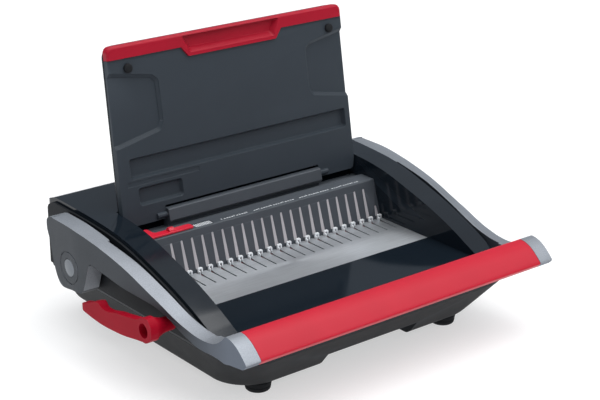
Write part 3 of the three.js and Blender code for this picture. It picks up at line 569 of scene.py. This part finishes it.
panel = cut(panel, merged([groove(i, 3.2, 5.4, 79.0, -1.2, 1.15) for i in range(HOOKS)]))
panel = cut(panel, prism("z", [(-137, 23, 2), (-117, 23, 2), (-117, 27.4, 2), (-137, 27.4, 2)], 115, 130))
panel = cut(panel, prism("z", [(-95.5, 18.6, 2), (-70, 18.6, 2), (-70, 30.6, 2), (-95.5, 30.6, 2)], 122.8, 130))
piece("back_panel_moulding", panel, "base", M["panel"], bevel=0.45, seg=3, replaces=("grooved_back_panel",))
piece("groove_strips", merged([groove(i, 2.8, 5.0, 79.4, 0.16, 1.05) for i in range(HOOKS)]), "base", M["strip"], bevel=0.16, seg=2)
bars = []
z0 = 123.24
for k in range(58):
    x = -58 + k * 3.6
    if k in (11, 12, 30, 31, 45):
        continue
    w = 2.3 if k % 5 else 1.1
    h = 1.5 if k % 5 else 2.6
    bars.append(prism("z", [(x, 21.0), (x + w, 21.0), (x + w, 21.0 + h), (x, 21.0 + h)], z0, z0 + 0.07))
for k in range(9):
    bars.append(prism("z", [(-93.5 + k * 2.6, 20.4), (-92.3 + k * 2.6, 20.4), (-92.3 + k * 2.6, 28.6), (-93.5 + k * 2.6, 28.6)], 122.84, 122.95))
piece("shelf_scale", merged(bars), "base", M["mark"], bevel=0, sharp=30)

# ---------------------------------------------------------------- edge guide
gz = 123.6
guide = prism("z", [(-156, 19, 2.5), (-98, 19, 3), (-98, 30, 4), (-146, 30, 3), (-146, 45, 3), (-156, 45, 3)], gz, gz + 2.1)
guide = join(guide, prism("x", [(20.5, gz + 1), (21.2, gz + 3.4, 2), (23.4, gz + 6, 1.5), (26.6, gz + 6, 1.5), (28.6, gz + 3.4, 2), (29.2, gz + 1)], -130.5, -123.5, 5), cyl_z(-127, 25.2, 1.8, 117.5, gz + 1, 24))
piece("edge_guide_slider", guide, "guide", M["guide"], bevel=0.5, seg=3, replaces=("edge_guide",))

# ---------------------------------------------------------------- hinge block
block = prism("x", [(45.7, 127.5, 1), (49.3, 141, 2.2), (57, 141, 2), (60.5, 137.5, 2), (60.5, 110), (52, 110), (52, 121), (47.5, 124.5)], -112.6, 112.6, 6)
block = join(block, box(-175.6, 175.6, 51.6, 60.5, 104, 118))
block = cut(block, cyl_x(LID_AXIS[0], LID_AXIS[1], 2.8, -114, -102, 28), cyl_x(LID_AXIS[0], LID_AXIS[1], 2.8, 102, 114, 28))
piece("hinge_block_moulding", block, "base", M["panel"], bevel=0.7, seg=3, replaces=("hinge_block",))

# ---------------------------------------------------------------- comb hooks on their rack
rack = box(-187.5, 168, -5, 1, 64, 70)
MOD, IDL = 1.75, (LEVER[0] + 31.5 * math.cos(math.radians(-30)), LEVER[1] + 31.5 * math.sin(math.radians(-30)))
rz, rp = IDL[1] - 12 * MOD / 2, math.pi * MOD
teeth = []
for k in range(8, -4, -1):
    y = IDL[0] + k * rp
    teeth += [(y + w * rp, rz + h * MOD) for w, h in ((0.27, -1.2), (0.12, 0.6), (0.09, 0.9), (-0.09, 0.9), (-0.12, 0.6), (-0.27, -1.2))]
rack = join(rack, prism("x", [(1, 45.5), (1, 70), (-5, 70), (-5, rz - 1.2 * MOD)] + teeth + [(IDL[0] - 3.5 * rp, rz - 1.2 * MOD), (IDL[0] - 3.5 * rp, 45.5)], -187.5, -182.2))
for i in range(HOOKS):
    x = hook_x(i)
    hook = prism("y", [(x - 0.7, 69), (x - 0.7, 76.9), (x - 0.9, 77.2), (x - 0.9, 80.0), (x - 0.9, 82.6, 1.6), (x + 5.2, 82.6, 1.2), (x + 5.2, 77.2, 0.5), (x + 3.7, 77.2, 0.4), (x + 3.7, 80.9, 0.7), (x + 0.8, 80.9, 0.7), (x + 0.8, 77.2), (x + 0.7, 76.9), (x + 0.7, 69)], -1.7, 0.6, 5)
    rack = join(rack, hook, box(x - 0.7, x + 0.7, -4, 0.5, 69, 79.2))
piece("comb_hooks", rack, "comb_rack", M["hook"], bevel=0.2, seg=2, replaces=("comb_hook_rack",))

carrier = []
for i in range(HOOKS - 1):
    a, b = hook_x(i) + 1.1, hook_x(i + 1) - 1.1
    carrier.append(prism("x", [(-5.0, 70.15), (0.9, 70.15), (0.9, 72.6, 0.8), (-0.6, 73.8, 0.6), (-4.2, 73.8, 0.6), (-5.0, 72.8, 0.5)], a, b, 4))
piece("comb_carrier_bars", merged(carrier), "comb_rack", M["carrier"], bevel=0.25, seg=2)

# ---------------------------------------------------------------- handle: arms with their end caps, grip, pivot caps
top = curve([(109.1, 141.6), (68.9, 141.2), (9.5, 134.8), (-37.7, 126.6), (-86.3, 111.5), (-135.6, 94.6), (-160, 90.4), (-173.5, 90.0), (-186, 91.8), (-196.8, 97.2), (-206.6, 106.4)], 7)
nose = curve([(-208.6, 107.0), (-215.3, 106.2), (-224.2, 102.8), (-232.9, 96.5), (-240.2, 89.6)], 4)
tip = [(-241.5, 87.9), (-241.6, 86.9), (-241.0, 85.9)]
under_bar = [(-237.2, 81.9), (-235.6, 81.0)]
under = curve([(-214.5, 78), (-205.3, 76), (-195, 76.8), (-182, 77.0), (-170, 76.0), (-158, 76.9), (-140, 81.6), (-126.7, 86), (-108, 93.2), (-90, 97.4), (-62, 99.2), (-31.5, 100.3), (8.8, 105.4), (32, 108.2)], 6)
boss = [(34.6, 105.4)] + curve([(47.6, 71), (52, 66.6), (60, 64.9), (72, 64), (84, 62.2), (92, 61.8), (97.6, 63.6), (103, 69), (107, 76.6), (116.5, 111), (122, 128), (121, 136), (115, 140.4)], 6)
arm_outline = top + nose + tip + under_bar + under + boss
arm_plan = [(231.3, 135, 4), (231.3, 60, 300), (218.7, -176, 60), (218.7, -250), (199.9, -250), (199.9, -174, 1), (202.9, -172, 6), (213.2, 20, 1), (210.3, 20, 1), (210.3, 135, 4)]
arm = meet(loft("x", [(arm_outline, 190), (arm_outline, 240)]), prism("z", arm_plan, 0, 200, 10))
arm = cut(arm, cyl_x(SHAFT[0], SHAFT[1], 4.5, 200, 224.2, 32), cyl_x(SHAFT[0], SHAFT[1], 10.9, 229.2, 240, 64), cyl_x(-212, 91.5, 8.3, 190, 214.5, 48))
arm = cut(arm, lathe([(18.2, -0.7), (19.6, -0.7), (19.6, 4), (18.2, 4)], 72, "x", (231.3, SHAFT[0], SHAFT[1])))
drop_at = [(130, 1.0), (66, 1.2), (19, 2.0), (-4, 3.5), (-37, 6.5), (-58, 8.0), (-79, 8.0), (-100, 7.0), (-120, 6.0), (-137, 5.0), (-151, 5.0), (-171, 4.0), (-189, 1.6), (-200, 0.4), (-260, 0.0)]


def drop(y):
    for (y1, d1), (y0, d0) in zip(drop_at, drop_at[1:]):
        if y >= y0:
            return d0 + (d1 - d0) * min(1, (y - y0) / (y1 - y0))
    return 0.0


slant = []
for y, z in reversed([q for q in top if -198 < q[0] < 112]):
    xi = (213.2 - (20 - y) * 10.3 / 192 if y > -172 else 202.9) if y < 20 else 210.3
    slant.append(([(xi - 3, z + 0.25), (xi + 2, z + 0.05), (236, z - drop(y)), (236, z + 30), (xi - 3, z + 30)], y))
arm = cut(arm, loft("y", slant))
left = mirrored(arm)
piece("handle_arm_right", arm, "handle", M["silver"], bevel=1.3, seg=4, angle=30, replaces=("arm_right",))
piece("handle_arm_left", left, "handle", M["silver"], bevel=1.3, seg=4, angle=30, replaces=("arm_left",))
# side and under faces of the arms take the darker copy of the silver paint: painted shade
for arm_name in ("handle_arm_right", "handle_arm_left"):
    o = bpy.data.objects[arm_name]
    o.data.materials.append(M["silver_shaded_side"])
    for p in o.data.polygons:
        if abs(p.normal.x) > 0.8 or p.normal.z < -0.5:
            p.material_index = 1
for s, side in ((1, "right"), (-1, "left")):
    cap = lathe([(0, -1.8), (10.3, -1.8), (10.5, -1.6), (10.5, -0.5), (10.2, 0.0), (9.4, 0.25), (9.0, 0.1), (8.6, 0.15), (6.5, 0.55), (3.4, 0.85), (0, 0.95)], 64, "x", (s * 231.3, SHAFT[0], SHAFT[1]), s)
    piece("pivot_cover_" + side, cap, "handle", M["cap"], bevel=0, sharp=35, replaces=("pivot_cap_" + side,))

grip_out = curve([(-174.7, 86.6), (-186, 91.6), (-196.8, 97.2), (-206.6, 106.4)], 6)
grip_under = curve([(-235.6, 81.0), (-214.5, 77.8), (-205.3, 76.6), (-189, 78.8), (-178.5, 80.4)], 5)
grip_outline = [(-175.2, 84.6), (-174.6, 86.2)] + grip_out[1:] + nose + tip + [(-237.2, 81.9)] + grip_under
grip = loft("x", [(grip_outline, -199.6), (grip_outline, 199.6)])
grip = cut(grip, cyl_x(-212, 91.5, 8.3, -210, 210, 48))
piece("handle_grip", grip, "handle", M["grip"], bevel=0.7, seg=3, angle=34, replaces=("grip",))

# ---------------------------------------------------------------- comb lever
LX = -245.0
lever_out = rounded(curve([(-112.3, 80), (-110.6, 89.6), (-104.6, 95.6), (-96, 94.6), (-86, 89.6), (-70, 85.8), (-45, 81.4), (-24, 76.4), (-15.4, 76.6), (-6, 80.2), (6, 76.4), (16, 71.6), (25.6, 69)], 5)
                    + [(26.8, 68.2), (27, 66.4), (26.8, 61), (25.6, 59.4)] + curve([(24, 59.1), (8, 57.4), (-12, 56.4), (-36, 57.6), (-60, 60.2), (-82, 64.4), (-98, 67.2), (-105, 69.2), (-110.6, 74)], 5), 4)
lever = loft("x", [(lever_out, LX), (lever_out, LX + 9)])
lever = join(lever, cyl_x(LEVER[0], LEVER[1], 13.6, LX + 0.2, LX + 12, 64), lathe([(0, 0), (11.6, 0), (11.6, 6.5), (9.6, 11.5), (8.4, 16), (7.9, 28), (0, 28)], 64, "x", (LX + 8, LEVER[0], LEVER[1])))
pad = rounded(curve([(-10, 74.6), (-5.2, 79.0), (6, 75.2), (16, 70.8), (25.0, 68.2)], 5) + [(26, 66), (25, 62.4), (14, 62.6), (-6, 66)], 3)
lever = join(lever, loft("x", [(pad, LX + 8), (pad, -233.2)]))
lever = cut(lever, cyl_x(LEVER[0], LEVER[1], 8.2, LX - 1, LX + 9, 56), cyl_x(LEVER[0], LEVER[1], 5.3, -232, -200, 40))
piece("comb_lever_moulding", lever, "lever", M["lever"], bevel=1.5, seg=4, angle=30, replaces=("comb_lever",))

# ---------------------------------------------------------------- lid, built in its own frame: x across, y depth, z distance from the hinge
FOOT, TRIM, JOG, LHW, LLEN, LTOP = 113.3, 185.9, 174.3, 170.7, 201.5, 165.0
lid_out = [(-168, -5, 5), (-FOOT, -5, 1.5), (-FOOT, 10.4, 1), (FOOT, 10.4, 1), (FOOT, -5, 1.5), (168, -5, 5), (LHW, 8, 12)]
inner = prism("y", lid_out + [(LHW, TRIM), (77, TRIM), (68, JOG, 1.5), (-58, JOG, 1.5), (-67, TRIM), (-LTOP, TRIM), (-LHW, 8, 12)], 0, 7.7)


def pocket(pts, depth, draft, seg=7, rim=0.9, foot=1.2):
    """Cutter with a rolled rim, slanting sides and a rounded foot."""
    rings = [(rounded(offset(pts, draft / 2 + rim), seg), -1.5)]
    for k in range(5):
        a = math.radians(22.5 * k)
        rings.append((rounded(offset(pts, draft / 2 + rim - rim * math.sin(a)), seg), rim - rim * math.cos(a)))
    for k in range(5):
        a = math.radians(22.5 * k)
        rings.append((rounded(offset(pts, -draft / 2 - foot * (1 - math.cos(a))), seg), depth - foot + foot * math.sin(a)))
    return loft("y", rings)


def side_pocket(dx):
    return pocket([(186, 86.4), (166 + dx, 88.3, 5), (112.5 + dx, 98.6, 6), (108.2 + dx, 108, 5), (108.2 + dx, 154.6, 6), (115 + dx, 160.6, 5), (166 + dx, 169.6, 3), (186, 170.2)], 4.0, 3.0)


left_pocket = side_pocket(-5)
inner = cut(inner, mirrored(left_pocket), side_pocket(5))
bpy.data.objects.remove(left_pocket)
inner = cut(inner, pocket([(-152, 49.5, 2.5), (162, 49.5, 2.5), (162, 71.3, 2.5), (-152, 71.3, 2.5)], 6.0, 1.6))
inner = cut(inner, pocket([(-145, 17.5, 4), (-87, 17.5, 4), (-87, 36, 4), (-145, 36, 4)], 5.0, 1.6))
inner = cut(inner, pocket([(-159, 40.6, 1), (-61, 40.6, 1), (-61, 45.6, 1), (-159, 45.6, 1)], 0.7, 0.5, 7, 0.3, 0.3))
for s in (-1, 1):
    inner = join(inner, cyl_x(0, 0, 3.4, *sorted((s * FOOT, s * 126)), 48))
for s in (-1, 1):
    inner = cut(inner, cyl_x(0, 0, 2.8, *sorted((s * 112, s * 124.5)), 28))
    inner = cut(inner, lathe([(0, -1.5), (2.3, -1.5), (2.3, 4.0), (0, 4.0)], 24, "y", (5 + s * 145, 0, 174.5)))
piece("lid_inner_moulding", inner, "lid", M["lid"], bevel=0.7, seg=3, angle=26, replaces=("lid_inner_panel",), place=LID)
shell = prism("y", lid_out + [(LHW, LLEN, 14), (-LTOP, LLEN, 14), (-LHW, 8, 12)], 8.0, 11.0, 10)
piece("lid_gloss_shell", shell, "lid", M["gloss"], bevel=1.0, seg=4, replaces=("lid_outer_shell",), place=LID)
trim_edge = [(-67, TRIM + 0.3), (-58, JOG + 0.3, 1.5), (68, JOG + 0.3, 1.5), (77, TRIM + 0.3)]


def trim_ring(inset):
    """Rows of the trim's rolled top and sides; the lower edge stays where it is."""
    return rounded([(-LTOP + inset, TRIM + 0.3)] + trim_edge + [(LHW - inset, TRIM + 0.3), (LHW - inset, LLEN - inset, 14 - inset * 0.6), (-LTOP + inset, LLEN - inset, 14 - inset * 0.6)], 10)


trim = loft("y", [(trim_ring(3.6), -2.4), (trim_ring(2.2), -2.1), (trim_ring(1.1), -1.4), (trim_ring(0.4), -0.4), (trim_ring(0), 0.9), (trim_ring(0), 7.7)])
p_out = [(-65, 198.7, 1.5), (-55.5, 178.6, 2), (65.5, 178.6, 2), (75, 198.7, 1.5)]
p_in = [(-61, 197.6, 1.5), (-52.5, 184.6, 2), (62.5, 184.6, 2), (71, 197.6, 1.5)]
p_front = [(-66, 199.0, 1.5), (-56.3, 177.4, 2), (66.3, 177.4, 2), (76, 199.0, 1.5)]
trim = cut(trim, loft("y", [(rounded(p_front, 5), -3.6), (rounded(p_out, 5), -2.4), (rounded(p_in, 5), 4.4)]))
piece("lid_red_trim", trim, "lid", M["red"], bevel=0.6, seg=3, angle=34, replaces=("lid_trim",), place=LID)
for s, side in ((1, "right"), (-1, "left")):
    b = lathe([(0, 2.5), (2, 2.5), (2, -0.3), (5.2, -0.3), (5.4, -0.6), (5.4, -2.4), (5.0, -3.2), (4.0, -3.8), (2.2, -4.1), (0, -4.1)], 48, "y", (5 + s * 145, 0, 174.5))
    piece("lid_stop_" + side, b, "lid", M["rubber"], bevel=0, sharp=40, replaces=("lid_bumper_" + side,), place=LID)

# ---------------------------------------------------------------- base screws with a cross recess
for i, (x, y) in enumerate(((-169, -103), (169, -103), (-169, 86), (169, 86)), 1):
    s = lathe([(0, 32), (0.6, 31.6), (2, 29.8), (2, 14.6), (2.4, 14.3), (4.0, 14.3), (4.2, 13.9), (3.9, 13.0), (3.2, 12.6), (0, 12.4)], 40, centre=(x, y, 0))
    s = cut(s, loft("z", [([(x - 1.9, y - 0.4), (x + 1.9, y - 0.4), (x + 1.9, y + 0.4), (x - 1.9, y + 0.4)], 11), ([(x - 1.2, y - 0.3), (x + 1.2, y - 0.3), (x + 1.2, y + 0.3), (x - 1.2, y + 0.3)], 13.9)]),
            loft("z", [([(x - 0.4, y - 1.9), (x + 0.4, y - 1.9), (x + 0.4, y + 1.9), (x - 0.4, y + 1.9)], 11), ([(x - 0.3, y - 1.2), (x + 0.3, y - 1.2), (x + 0.3, y + 1.2), (x - 0.3, y + 1.2)], 13.9)]))
    piece("base_screw_%d" % i, s, "base", M["zinc"], bevel=0, sharp=35, replaces=("frame_screw_%d" % i,))

# ---------------------------------------------------------------- CAD nodes that stay
KEEP = {
    "die_plate": "steel", "punch_guide_plate": "steel", "side_frame_left": "steel", "side_frame_right": "steel", "return_spring_left": "steel", "return_spring_right": "steel",
    "handle_core_tube": "steel", "drive_shaft": "steel", "drive_cam_left": "steel", "drive_cam_right": "steel", "lever_shaft": "steel", "punch_bar": "zinc", "tie_rod_front": "zinc",
    "tie_rod_rear": "zinc", "idler_axle": "zinc", "lid_hinge_pin_left": "zinc", "lid_hinge_pin_right": "zinc", "shaft_bush_left": "brass", "shaft_bush_right": "brass",
    "lever_bush": "brass", "pinion": "brass", "idler_gear": "nylon", "rack_guide_left": "nylon", "rack_guide_right": "nylon", "chip_tray": "tray",
}
for name, key in KEEP.items():
    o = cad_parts[name]
    o.data.materials.clear()
    o.data.materials.append(M[key])
    for p in o.data.polygons:
        p.use_smooth = True
    w = o.modifiers.new("weld", "WELD")
    w.merge_threshold = 0.00002
    b = o.modifiers.new("bevel", "BEVEL")
    b.width, b.segments, b.limit_method, b.angle_limit = 0.00035 if name != "chip_tray" else 0.0007, 2, "ANGLE", math.radians(32)
    b.use_clamp_overlap = True
    n = o.modifiers.new("normals", "WEIGHTED_NORMAL")
    n.weight, n.keep_sharp = 60, True

# ---------------------------------------------------------------- floor, lights, world
floor = mesh_object("floor", [(-6, -6, 0), (6, -6, 0), (6, 6, 0), (-6, 6, 0)], [(0, 1, 2, 3)])
fm = bpy.data.materials.new("floor_white")
fm.use_nodes = True
fb = fm.node_tree.nodes["Principled BSDF"]
fb.inputs["Base Color"].default_value = (0.5, 0.5, 0.5, 1)
fb.inputs["Roughness"].default_value = 0.9
fb.inputs["Specular IOR Level"].default_value = 0.0
fb.inputs["Emission Color"].default_value = (1, 1, 1, 1)
fb.inputs["Emission Strength"].default_value = 0.55
floor.data.materials.append(fm)
if floor.data.polygons[0].normal.z < 0:
    floor.data.flip_normals()


def area(name, loc, target, size, power, colour=(1, 1, 1), size_y=None):
    d = bpy.data.lights.new(name, "AREA")
    d.energy, d.color, d.size = power, colour, size
    if size_y:
        d.shape, d.size_y = "RECTANGLE", size_y
    o = bpy.data.objects.new(name, d)
    scene.collection.objects.link(o)
    o.location = loc
    o.rotation_euler = (Vector(target) - Vector(loc)).to_track_quat("-Z", "Y").to_euler()
    return o


area("key", (0.7, -0.9, 2.1), (0, 0, 0.1), 2.4, 42)
area("over", (-0.2, 0.5, 2.4), (0, 0, 0.1), 2.8, 36)
area("fill", (-2.2, -0.9, 0.9), (0, 0, 0.1), 1.6, 5, (0.92, 0.96, 1.0))

world = bpy.data.worlds.new("studio")
scene.world = world
world.use_nodes = True
wn, wl = world.node_tree.nodes, world.node_tree.links
bg = wn["Background"]
tc, sep, wr = wn.new("ShaderNodeTexCoord"), wn.new("ShaderNodeSeparateXYZ"), wn.new("ShaderNodeValToRGB")
wl.new(tc.outputs["Generated"], sep.inputs[0])
wl.new(sep.outputs["Z"], wr.inputs["Fac"])
wr.color_ramp.elements[0].position, wr.color_ramp.elements[1].position = 0.0, 0.9
wr.color_ramp.elements[0].color, wr.color_ramp.elements[1].color = (0.16, 0.17, 0.185, 1), (0.75, 0.76, 0.78, 1)
e = wr.color_ramp.elements.new(0.45)
e.color = (0.27, 0.30, 0.34, 1)
wl.new(wr.outputs["Color"], bg.inputs["Color"])
bg.inputs["Strength"].default_value = 1.0

scene.view_settings.view_transform = "Standard"
scene.view_settings.look = "None"
scene.view_settings.exposure = 0.0
